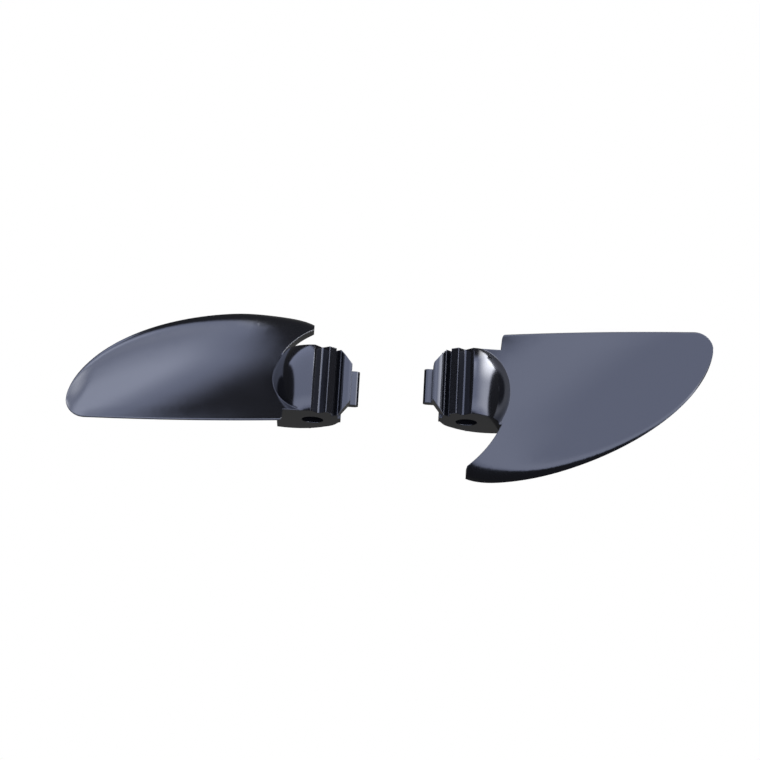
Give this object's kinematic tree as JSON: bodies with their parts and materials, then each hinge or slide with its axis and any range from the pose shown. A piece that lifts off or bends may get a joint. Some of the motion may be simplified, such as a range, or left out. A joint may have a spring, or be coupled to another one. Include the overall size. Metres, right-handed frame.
{
  "type": "folding propeller blade pair",
  "caption": "Pair of twisted folding propeller blades in black moulded plastic, each on its own pivot, with gear ribs at the root so that both fold together.",
  "frame": {"origin": "midway between the two pivots, at the height of their axes", "axes": "+Z along the shaft towards the side the blades fold to, X across the pair from the left blade to the right one, Y along the pivot axes"},
  "size_m": [0.1754, 0.0452, 0.0269],
  "materials": {
    "left_blade_plastic": "moulded black plastic, polished",
    "right_blade_plastic": "moulded black plastic, polished",
    "sleeve_steel": "turned stainless steel"
  },
  "bodies": {
    "pivots": {"left_pivot_sleeve": "sleeve_steel", "right_pivot_sleeve": "sleeve_steel"},
    "blade_left": {"left_blade": "left_blade_plastic"},
    "blade_right": {"right_blade": "right_blade_plastic"}
  },
  "joints": [
    {"name": "left_blade_fold", "type": "hinge", "parent": "pivots", "child": "blade_left", "pos_m": [-0.0214, -0.00105, 0], "axis": [0, 1, 0], "range_deg": [0, 90]},
    {"name": "right_blade_fold", "type": "hinge", "parent": "pivots", "child": "blade_right", "pos_m": [0.0214, 0.00105, 0], "axis": [0, -1, 0], "range_deg": [0, 90]}
  ],
  "couplings": [
    {"joint": "right_blade_fold", "follows": "left_blade_fold", "ratio": 1}
  ]
}
